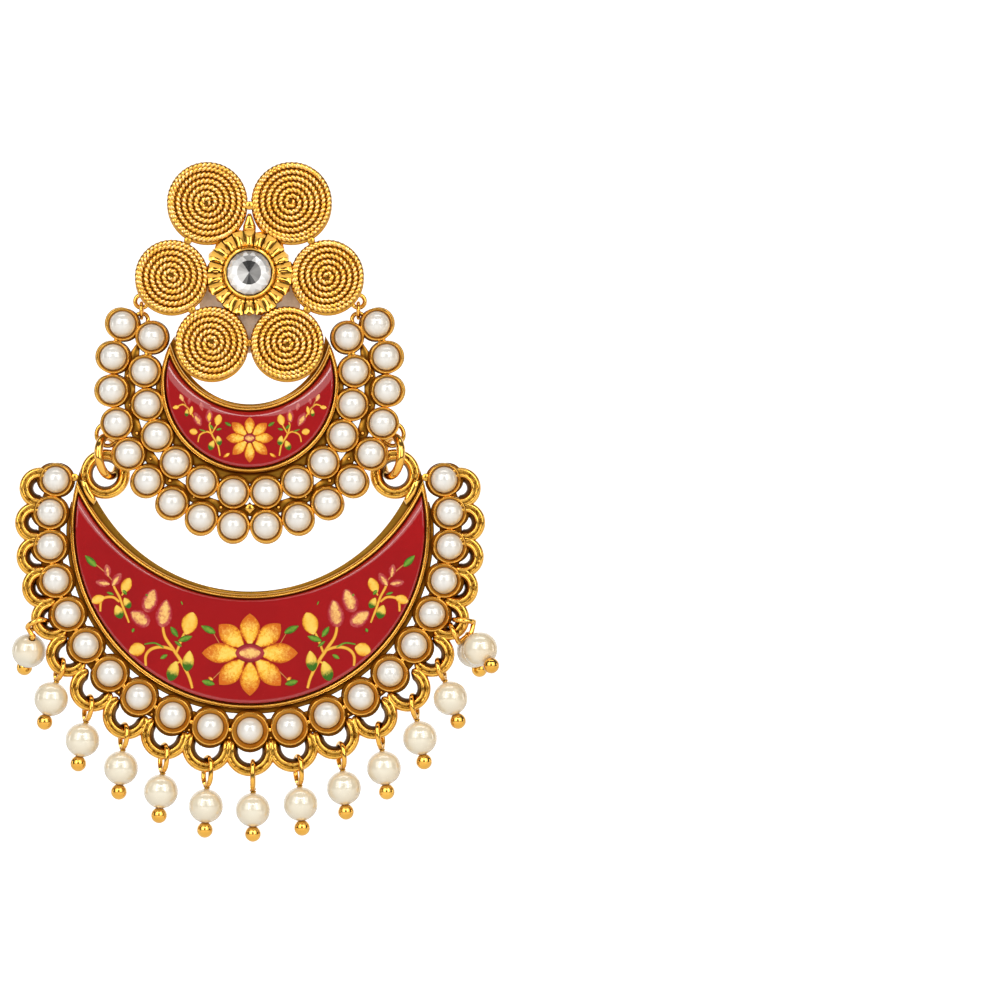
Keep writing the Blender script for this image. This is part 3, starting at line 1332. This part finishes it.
def paint_lower_sprigs(brush):
    """Big and small sprig on each side of the lower flower."""
    for s in SIDES:
        # Big sprig, drawn for the right side
        trunk = [(7.2, -4.4), (7.6, -3.0), (8.5, -1.2), (9.6, 0.5), (10.6, 2.0), (10.9, 3.4)]
        brush.stem("stem", trunk, 0.42, s)
        brush.stem("stem", [(9.2, 0.0), (8.7, 1.3), (8.2, 2.5)], 0.34, s)
        brush.stem("stem", [(9.5, 0.35), (10.8, 0.75), (12.2, 0.55), (13.0, -0.3), (13.0, -1.6)], 0.40, s)
        brush.stem("green", [(10.8, 0.7), (11.9, 1.25), (13.2, 1.1)], 0.22, s)
        brush.stem("stem", [(8.6, -1.0), (9.3, -1.4), (9.6, -2.0)], 0.28, s)
        brush.leaf("bud", (8.0, 2.3), (7.1, 5.1), 2.0, full=0.52, point=0.62, s=s)
        brush.leaf("halo", (11.0, 3.2), (10.4, 6.7), 2.1, full=0.42, point=0.6, s=s)
        brush.leaf("blossom", (10.95, 3.6), (10.45, 6.5), 1.6, full=0.42, point=0.6, s=s)
        brush.leaf("bud", (13.1, 0.7), (15.1, 0.2), 1.7, full=0.5, point=0.6, s=s)
        brush.leaf("tipped", (7.5, 0.3), (7.9, -2.3), 1.45, full=0.55, point=0.6, s=s)
        brush.leaf("tipped", (9.2, -1.0), (10.0, -3.5), 1.5, full=0.55, point=0.6, s=s)
        for foot, tip, wide in (
            ((9.0, 2.0), (9.9, 3.3), 0.7), ((9.0, 1.5), (7.2, 2.1), 0.75),
            ((10.3, -0.2), (11.2, -0.7), 0.5), ((8.5, 0.8), (9.4, 1.5), 0.4),
        ):
            brush.leaf("green", foot, tip, wide, s=s)
        for foot, tip, wide in (((13.0, 5.1), (11.9, 8.0), 1.9), ((12.6, 3.5), (14.9, 5.2), 1.9)):
            brush.leaf("halo", foot, tip, wide * 1.05, full=0.42, point=0.55, s=s)
            near = (foot[0] * 0.86 + tip[0] * 0.14, foot[1] * 0.86 + tip[1] * 0.14)
            far = (foot[0] * 0.06 + tip[0] * 0.94, foot[1] * 0.06 + tip[1] * 0.94)
            brush.leaf("blossom", near, far, wide * 0.80, full=0.42, point=0.55, s=s)
        # Small sprig towards the horn
        brush.stem("stem", [(15.1, 3.8), (15.8, 5.6), (16.3, 7.0), (17.0, 8.4), (16.9, 9.4)], 0.32, s)
        brush.stem("stem", [(16.3, 6.4), (17.2, 7.0), (18.5, 6.7), (18.7, 5.2)], 0.34, s)
        brush.stem("vine", [(17.0, 8.8), (18.0, 10.0), (19.4, 11.2)], 0.18, s)
        brush.stem("stem", [(16.0, 7.2), (15.5, 8.0)], 0.24, s)
        brush.leaf("bud", (15.9, 7.5), (15.0, 9.4), 1.3, full=0.52, point=0.62, s=s)
        brush.leaf("bud", (18.2, 7.0), (19.8, 6.4), 1.15, full=0.5, point=0.6, s=s)
        brush.leaf("tipped", (16.7, 6.0), (16.1, 4.3), 1.2, full=0.55, point=0.6, s=s)
        brush.leaf("tipped", (15.7, 6.9), (15.0, 5.6), 0.95, full=0.55, point=0.6, s=s)
        brush.leaf("green", (19.2, 10.8), (20.6, 12.2), 0.85, full=0.45, s=s)
        brush.leaf("green", (17.0, 7.3), (17.9, 7.6), 0.35, s=s)
        brush.leaf("green", (15.9, 7.9), (15.4, 7.3), 0.45, s=s)
        brush.leaf("green", (14.5, 3.1), (14.7, 2.6), 0.4, s=s)
        brush.leaf("green", (8.6, 6.5), (8.4, 6.0), 0.18, s=s)
        brush.leaf("green", (12.8, 7.1), (13.0, 7.4), 0.25, s=s)
        for foot, tip, wide in (
            ((17.2, 8.4), (16.1, 10.0), 1.1), ((17.5, 8.6), (19.3, 8.9), 1.0),
            ((17.7, 9.5), (17.9, 11.1), 0.95),
        ):
            brush.leaf("halo", foot, tip, wide, full=0.5, point=0.6, s=s)
            far = (foot[0] * 0.25 + tip[0] * 0.75, foot[1] * 0.25 + tip[1] * 0.75)
            brush.leaf("blossom", foot, far, wide * 0.5, s=s)
        # Leaves beside the flower
        brush.stem("vine", [(3.8, 1.2), (4.5, 2.4)], 0.12, s)
        brush.leaf("green", (4.3, 2.5), (6.1, 3.4), 0.85, full=0.45, s=s)
        brush.stem("vine", [(3.6, -2.2), (4.8, -3.4)], 0.12, s)
        brush.leaf("green", (4.4, -3.9), (6.0, -3.5), 0.8, full=0.5, s=s)
        brush.leaf("petal", (4.6, -3.4), (5.2, -3.0), 0.4, s=s)


def paint_upper_sprigs(brush):
    """Sprig on each side of the upper flower."""
    for s in SIDES:
        brush.stem("stem", [(3.7, -2.2), (4.0, -0.8), (4.7, 0.4), (5.0, 1.5), (4.9, 2.0)], 0.24, s)
        brush.stem("stem", [(4.6, 0.4), (5.3, 0.8), (6.2, 0.4), (6.45, -0.5)], 0.22, s)
        brush.stem("stem", [(4.7, 0.6), (4.3, 1.3), (4.0, 1.8)], 0.18, s)
        brush.leaf("bud", (4.1, 1.6), (3.75, 2.95), 0.95, full=0.52, point=0.62, s=s)
        brush.leaf("bud", (6.5, 0.7), (7.5, 0.9), 0.85, full=0.5, point=0.6, s=s)
        brush.leaf("tipped", (4.0, 0.3), (3.7, -0.9), 0.75, full=0.55, point=0.6, s=s)
        brush.leaf("tipped", (4.5, -0.3), (5.0, -1.5), 0.8, full=0.55, point=0.6, s=s)
        brush.leaf("green", (4.5, 1.1), (5.0, 1.7), 0.34, s=s)
        brush.leaf("green", (4.2, 1.0), (3.5, 1.2), 0.3, s=s)
        brush.leaf("green", (5.4, 0.8), (6.3, 1.1), 0.2, s=s)
        brush.leaf("halo", (5.1, 1.9), (5.0, 3.6), 0.95, full=0.5, point=0.6, s=s)
        brush.leaf("bud", (5.1, 2.1), (5.0, 3.2), 0.5, s=s)
        brush.leaf("halo", (6.1, 1.5), (6.9, 3.2), 1.05, full=0.5, point=0.6, s=s)
        brush.leaf("blossom", (6.2, 1.7), (6.8, 2.8), 0.6, s=s)
        brush.leaf("halo", (5.9, 3.4), (6.1, 4.5), 0.6, s=s)
        brush.stem("stem", [(7.0, 2.6), (7.6, 3.6), (8.3, 4.2), (9.1, 3.9)], 0.2, s)
        brush.stem("vine", [(7.7, 3.6), (8.2, 4.6), (8.7, 5.4)], 0.12, s)
        brush.leaf("bud", (7.4, 2.9), (7.2, 4.0), 0.5, s=s)
        brush.leaf("tipped", (7.8, 3.6), (7.9, 2.7), 0.5, full=0.55, point=0.6, s=s)
        brush.leaf("bud", (8.8, 3.9), (9.6, 3.8), 0.5, full=0.5, point=0.6, s=s)
        brush.leaf("blossom", (8.3, 4.6), (8.7, 5.5), 0.55, s=s)
        brush.leaf("halo", (7.6, 4.2), (7.5, 5.0), 0.5, s=s)
        brush.leaf("green", (2.3, 1.5), (3.1, 2.0), 0.4, full=0.45, s=s)
        brush.leaf("petal", (2.5, -1.9), (3.3, -2.4), 0.4, full=0.45, s=s)


def paint_pots(look):
    """Each paint's colours from the middle of a stroke to its edge, its streaks and its tip."""
    return {
        "petal": {
            "stops": [
                (0.0, (0.86, 0.56, 0.11)), (0.3, look.yellow), (0.55, (0.74, 0.32, 0.022)),
                (0.75, look.orange), (1.0, (0.34, 0.035, 0.005)),
            ],
            "streak": 0.85, "tip": look.orange, "tip_reach": 2.6,
        },
        "bud": {
            "stops": [
                (0.0, (0.82, 0.52, 0.10)), (0.5, (0.74, 0.38, 0.035)), (0.85, (0.60, 0.20, 0.012)),
                (1.0, (0.38, 0.08, 0.008)),
            ],
            "streak": 0.7,
        },
        "tipped": {
            "stops": [(0.0, (0.76, 0.54, 0.10)), (0.6, (0.66, 0.38, 0.04)), (1.0, (0.32, 0.10, 0.010))],
            "streak": 0.5, "tip": [c * 0.8 for c in look.green],
        },
        "blossom": {
            "stops": [
                (0.0, (0.80, 0.50, 0.16)), (0.4, (0.66, 0.32, 0.10)), (0.75, (0.46, 0.11, 0.07)),
                (1.0, look.pink),
            ],
            "streak": 1.2,
        },
        "halo": {
            "stops": [(0.0, (0.46, 0.11, 0.08)), (0.6, (0.37, 0.035, 0.045)), (1.0, (0.31, 0.010, 0.016))],
            "streak": 1.6,
        },
        "rose": {
            "stops": [(0.0, (0.34, 0.035, 0.04)), (0.6, (0.26, 0.016, 0.024)), (1.0, (0.16, 0.006, 0.010))],
            "streak": 0.5,
        },
        "green": {
            "stops": [(0.0, (0.16, 0.30, 0.03)), (0.45, look.green), (1.0, (0.03, 0.075, 0.008))],
            "streak": 0.6,
        },
        "stem": {
            "stops": [(0.0, (0.74, 0.40, 0.05)), (0.6, (0.62, 0.27, 0.025)), (1.0, (0.42, 0.10, 0.010))],
            "streak": 0.25,
        },
        "vine": {"stops": [(0.0, (0.52, 0.20, 0.06)), (1.0, (0.36, 0.06, 0.02))], "streak": 0.3},
    }


def make_enamel():
    """Domed red panels of both tiers, with the painted flower and sprigs on each."""
    pots = paint_pots(bpy.context.scene.earring_enamel)
    upper = Panel(UPPER_TRAY, edge=0.64, low=-1.05, high=-1.70, moon_roll=0.30, hollow_roll=(2.0, 2.3))
    lower = Panel(LOWER_TRAY, edge=0.64, low=0.25, high=-0.42, moon_roll=0.22, hollow_roll=(0.18, 1.2))
    upper_petals = [
        (90, 2.65), (139, 2.95), (180, 2.95), (224, 2.95), (270, 3.05), (317, 3.0), (0, 2.95), (41, 2.85),
    ]
    lower_petals = [
        (90, 4.95), (137.5, 5.25), (180, 6.0), (226, 5.5), (270, 5.35), (313.5, 5.6), (0, 6.0), (43.5, 5.3),
    ]
    # Name, panel, floor of its tray, steps along it and middle of its flower
    tiers = [("upper", upper, UPPER_FLOOR, 110, (0, -16.9)), ("lower", lower, LOWER_FLOOR, 190, (0, -43.75))]
    for tier, panel, floor_y, steps, middle in tiers:
        bench = Bench()
        panel.build(bench, floor_y - 0.05, steps)
        red = finish_of("red_enamel", enamel_finish)
        piece(f"{tier}_red_panel", bench, f"{tier}_tier", red, [f"{tier}_enamel"], sharp=60)
        brush = Brush(panel, middle)
        if tier == "lower":
            paint_lower_sprigs(brush)
            paint_flower(brush, lower_petals, heart=(1.85, 1.2), width=2.55)
        else:
            paint_upper_sprigs(brush)
            paint_flower(brush, upper_petals, heart=(0.78, 0.62), width=1.3)
        for pot, bench in brush.pots.items():
            finish = finish_of(f"paint_{pot}", paint_finish, **pots[pot])
            piece(f"{tier}_paint_{pot}", bench, f"{tier}_tier", finish, [], sharp=80)


# Fringe


def drop_frame(drop):
    """Where a drop hangs, its lean, its own axes, and how far its hook is from the pearl's middle."""
    x, z = scallop_spot(drop.scallop)
    hook = Vector((x, 0, z)) + row_dir(drop.hook) * lower_row(drop.scallop).scallop_r
    down = Vector((drop.x - hook.x, drop.z - hook.z))
    if drop.lean is None:
        lean, tip = -Vector((0, -1)).angle_signed(down), 0.0
    else:
        lean, tip = radians(drop.lean), radians(drop.tip)
    spot = Matrix.Translation((drop.x, SCALLOP_Y + drop.back, drop.z))
    return hook, lean, spot @ Matrix.Rotation(-lean, 4, "Y") @ Matrix.Rotation(tip, 4, "X"), down.length


def long_eye_path(top, bottom, bend_r):
    """Closed outline of a drop's long eye in its own YZ plane."""
    turns = [pi * i / 12 for i in range(13)]
    upper_bend = [(0, bend_r * cos(a), top - bend_r + bend_r * sin(a)) for a in turns]
    lower_bend = [(0, -bend_r * cos(a), bottom + bend_r - bend_r * sin(a)) for a in turns]
    return upper_bend + lower_bend


def add_long_eye(pin, drop, place, lean, depth):
    """Long wire eye that hangs on the inside of its scallop; gives the top of the stem."""
    neck = DROP_PEARL_R + DROP_WIRE_R + 0.08
    scallop_r = lower_row(drop.scallop).scallop_r
    bar_r = BAR_R / cos(radians(22.5))
    skew = lean - radians(drop.hook)
    room = scallop_r - bar_r - DROP_WIRE_R - 0.12
    top = depth + scallop_r * cos(skew) - sqrt(room ** 2 - (scallop_r * sin(skew)) ** 2)
    bend_r = min(1.28, (top - neck) / 2 - 0.05)
    pin.where = place @ Matrix.Rotation(radians(drop.eye_turn), 4, "Z")
    pin.wire(long_eye_path(top, neck, bend_r), DROP_WIRE_R - 0.01, 14, closed=True)
    return neck


def add_ring_eye(pin, drop, place, hook):
    """Round wire eye with a bent neck, of an outermost drop; gives the top of the stem."""
    stem_top = DROP_PEARL_R + 0.45
    turn = Matrix.Rotation(radians(-drop.hook), 4, "Y") @ Matrix.Rotation(radians(drop.eye_turn), 4, "Z")
    pin.where = Matrix.Translation((hook.x, SCALLOP_Y, hook.z)) @ turn
    pin.hoop((0, 0, 0), (0, 1, 0), (0, 0, 1), RING_EYE_R, DROP_WIRE_R, 44, 14)
    pin.where = None
    foot = hook + row_dir(drop.hook) * RING_EYE_R + Vector((0, SCALLOP_Y, 0))
    knee = place @ Vector((0, 0, stem_top))
    below = place @ Vector((0, 0, DROP_PEARL_R - 0.2))
    bend = smooth_line([tuple(foot), tuple(foot * 0.4 + knee * 0.6), tuple(knee), tuple(below)], 5)
    pin.wire(bend, DROP_WIRE_R - 0.02, 14)
    return stem_top


def add_drilled_pearl(pearl):
    """Drilled pearl round its own Z."""
    steps, sides = 22, 36
    first, bore_r = 0.2, 0.42
    slopes = [first + (pi - 2 * first) * i / steps for i in range(steps + 1)]
    shell = [(DROP_PEARL_R * sin(a), DROP_PEARL_R * cos(a)) for a in slopes]
    bore_z = DROP_PEARL_R * cos(first) - 0.4
    profile = [(bore_r, bore_z)] + shell + [(bore_r, -bore_z)]
    turns = [2 * pi * j / sides for j in range(sides)]
    rows = [[(r * cos(a), r * sin(a), h) for a in turns] for r, h in profile]

    def rim(i, j):
        """Share of the warm edge, which is stronger on the right."""
        x, _, z = rows[i][j]
        return min(1.0, hypot(x, z) / DROP_PEARL_R) * (0.7 + 0.3 * x / DROP_PEARL_R)

    pearl.skin(rows, closed=True, rim=rim)


def make_drops():
    """Fourteen drops: wire eye, coiled neck, pearl and ball."""
    look = bpy.context.scene.earring_pearl
    cream = finish_of("pearl_cream", pearl_finish, body=look.cream, edge_share=0.9)
    for number, drop in enumerate(DROPS, 1):
        hook, lean, place, depth = drop_frame(drop)
        pin = Bench()
        if drop.lean is None:
            stem_top = add_long_eye(pin, drop, place, lean, depth)
        else:
            stem_top = add_ring_eye(pin, drop, place, hook)
        pin.where = place
        turns = [2 * pi * i / 14 for i in range(22)]
        coil = [(cos(a) * 0.30, sin(a) * 0.30, DROP_PEARL_R + 0.12 + 0.055 * a) for a in turns]
        pin.wire(coil, 0.13, 8, tarnish=0.15)
        stem = [(0, 0, -BALL_DROP), (0, 0, 0), (0, 0, stem_top)]
        pin.wire(stem, DROP_WIRE_R - 0.03, 12, tarnish=0.3)
        pin.ball((0, 0, -BALL_DROP), DROP_BALL_R, 28)
        node = f"drop_pin_{number:02d}"
        piece(f"pin_{number:02d}", pin, "lower_tier", polished(), [node], sharp=60)

        pearl = Bench()
        pearl.where = place
        add_drilled_pearl(pearl)
        node = f"drop_pearl_{number:02d}"
        piece(f"pearl_{number:02d}", pearl, "lower_tier", cream, [node], sharp=60)


# Stage


def make_stage(look):
    """Pale sweep of floor and backdrop, soft boxes and tubes with a gap between them, and the camera."""
    scene = bpy.context.scene
    bend = [(0.9 + 0.6 * sin(a), 0.43 - 0.6 * cos(a)) for a in (radians(9 * i) for i in range(1, 11))]
    profile = [(-1.6, -0.17), (0.9, -0.17)] + bend + [(1.5, 2.2)]
    points = [(x, y, z) for y, z in profile for x in (-2.4, 2.4)]
    faces = [[2 * i, 2 * i + 1, 2 * i + 3, 2 * i + 2] for i in range(len(profile) - 1)]
    mesh = bpy.data.meshes.new("sweep")
    mesh.from_pydata(points, [], faces)
    mesh.shade_smooth()
    sweep = bpy.data.objects.new("sweep", mesh)
    scene.collection.objects.link(sweep)
    paper = Recipe("pale_paper", Roughness=0.9, Emission_Strength=look.glow)
    spot = paper.spot()
    grain = paper.noise(spot, 0.02, 2.0)
    base = paper.blend(grain, look.pale, [c * 0.985 for c in look.pale])
    depth = paper.add("ShaderNodeSeparateXYZ", values={"Vector": spot}, out="Y")
    glow = paper.blend((depth * 1.6 - 0.9).clamp(), [c * 0.12 for c in look.pale], base)
    mesh.materials.append(paper.ends(Base_Color=base, Emission_Color=glow))

    # Name, place, width and height in metres, and power of each light
    aim = Vector((0, 0, -0.025))
    boxes = [
        ("left_box", (-0.56, -0.84, 0.42), (0.96, 0.96), look.box_light),
        ("right_box", (0.56, -0.84, 0.42), (0.96, 0.96), look.box_light),
        ("left_tube", (-0.44, -0.80, 0.38), (0.10, 0.80), look.box_light * 0.36),
        ("right_tube", (0.44, -0.80, 0.38), (0.10, 0.80), look.box_light * 0.36),
        ("middle_tube", (0.0, -0.80, 0.62), (0.5, 0.10), look.box_light * 0.16),
        ("top_box", (0.0, -0.10, 1.05), (1.0, 0.25), look.box_light * 0.42),
        ("low_box", (0.0, -0.95, -0.62), (1.1, 0.22), look.box_light * 0.24),
        ("left_edge", (-1.10, 0.14, -0.05), (0.22, 0.9), look.box_light * 0.3),
        ("right_edge", (1.10, 0.14, -0.05), (0.22, 0.9), look.box_light * 0.3),
    ]
    for name, place, size, power in boxes:
        lamp = bpy.data.lights.new(name, "AREA")
        lamp.shape, lamp.size, lamp.size_y, lamp.energy = "RECTANGLE", size[0], size[1], power
        lamp.color = (1.0, 0.985, 0.96)
        made = bpy.data.objects.new(name, lamp)
        made.location = place
        made.rotation_euler = (aim - Vector(place)).to_track_quat("-Z", "Y").to_euler()
        scene.collection.objects.link(made)
    world = bpy.data.worlds.new("studio_air")
    world.use_nodes = True
    world.node_tree.nodes["Background"].inputs["Color"].default_value = (0.13, 0.127, 0.122, 1)
    scene.world = world
    scene.view_settings.view_transform = "Standard"

    lens = bpy.data.cameras.new("front_camera")
    lens.lens = lens.sensor_width * look.distance / VIEW_WIDTH
    lens.clip_start, lens.clip_end = 0.01, 20
    camera = bpy.data.objects.new("front_camera", lens)
    camera.location = (VIEW_X, -look.distance, VIEW_Z)
    camera.rotation_euler = (radians(90), 0, 0)
    scene.collection.objects.link(camera)
    scene.camera = camera


# Operators, panel and registration


class EARRING_OT_rope_coils(bpy.types.Operator):
    """Make the six rope coils of the stud"""

    bl_idname = "earring.rope_coils"
    bl_label = "Rope coils"

    def execute(self, context):
        make_rope_coils(context.scene.earring_gold)
        return {"FINISHED"}


class EARRING_OT_rosette(bpy.types.Operator):
    """Make the rosette, its bezel and its top leaf"""

    bl_idname = "earring.rosette"
    bl_label = "Rosette and bezel"

    def execute(self, context):
        make_rosette(context.scene.earring_gold)
        return {"FINISHED"}


class EARRING_OT_stone(bpy.types.Operator):
    """Make the cut stone"""

    bl_idname = "earring.stone"
    bl_label = "Cut stone"

    def execute(self, context):
        make_stone()
        return {"FINISHED"}


class EARRING_OT_pad(bpy.types.Operator):
    """Make the comfort pad and finish the post"""

    bl_idname = "earring.pad"
    bl_label = "Pad and post"

    def execute(self, context):
        make_pad()
        return {"FINISHED"}


class EARRING_OT_links(bpy.types.Operator):
    """Make the small links and the big jump rings"""

    bl_idname = "earring.links"
    bl_label = "Links and jump rings"

    def execute(self, context):
        make_links()
        return {"FINISHED"}


class EARRING_OT_upper_frame(bpy.types.Operator):
    """Make the metalwork of the upper tier"""

    bl_idname = "earring.upper_frame"
    bl_label = "Upper tier"

    def execute(self, context):
        make_upper_frame()
        return {"FINISHED"}


class EARRING_OT_lower_frame(bpy.types.Operator):
    """Make the metalwork of the lower tier"""

    bl_idname = "earring.lower_frame"
    bl_label = "Lower tier"

    def execute(self, context):
        make_lower_frame()
        return {"FINISHED"}


class EARRING_OT_set_pearls(bpy.types.Operator):
    """Make the half pearls of the three rows"""

    bl_idname = "earring.set_pearls"
    bl_label = "Set pearls"

    def execute(self, context):
        make_set_pearls()
        return {"FINISHED"}


class EARRING_OT_enamel(bpy.types.Operator):
    """Make the enamel panels and their painted flowers"""

    bl_idname = "earring.enamel"
    bl_label = "Enamel"

    def execute(self, context):
        make_enamel()
        return {"FINISHED"}


class EARRING_OT_drops(bpy.types.Operator):
    """Make the fringe of pearl drops"""

    bl_idname = "earring.drops"
    bl_label = "Drops"

    def execute(self, context):
        make_drops()
        return {"FINISHED"}


class EARRING_OT_stage(bpy.types.Operator):
    """Make the backdrop, the lights and the camera"""

    bl_idname = "earring.stage"
    bl_label = "Stage"

    def execute(self, context):
        make_stage(context.scene.earring_stage)
        return {"FINISHED"}


OPERATORS = (
    EARRING_OT_stage,
    EARRING_OT_rope_coils,
    EARRING_OT_rosette,
    EARRING_OT_stone,
    EARRING_OT_pad,
    EARRING_OT_links,
    EARRING_OT_upper_frame,
    EARRING_OT_lower_frame,
    EARRING_OT_set_pearls,
    EARRING_OT_enamel,
    EARRING_OT_drops,
)
GROUPS = {
    "earring_gold": EarringGold, "earring_pearl": EarringPearl, "earring_enamel": EarringEnamel,
    "earring_stage": EarringStage,
}


class EARRING_PT_panel(bpy.types.Panel):
    """Sizes, colours and pieces of the earring"""

    bl_idname = "EARRING_PT_panel"
    bl_label = "Drop earring"
    bl_space_type = "VIEW_3D"
    bl_region_type = "UI"
    bl_category = "Earring"

    def draw(self, context):
        for name, group in GROUPS.items():
            box = self.layout.box()
            box.label(text=group.__doc__)
            for key in group.__annotations__:
                box.prop(getattr(context.scene, name), key)
        for operator in OPERATORS:
            self.layout.operator(operator.bl_idname)


def register():
    """Registers the groups, the operators and the panel."""
    for made in (*GROUPS.values(), *OPERATORS, EARRING_PT_panel):
        bpy.utils.register_class(made)
    for name, group in GROUPS.items():
        setattr(bpy.types.Scene, name, PointerProperty(type=group))


def unregister():
    """Takes them out again."""
    for name in GROUPS:
        delattr(bpy.types.Scene, name)
    for made in (EARRING_PT_panel, *reversed(OPERATORS), *GROUPS.values()):
        bpy.utils.unregister_class(made)


def main():
    """Makes every piece in order and keeps the box of the solids and of the looks."""
    register()
    for operator in OPERATORS:
        group, name = operator.bl_idname.split(".")
        getattr(getattr(bpy.ops, group), name)()


if __name__ == "__main__":
    main()
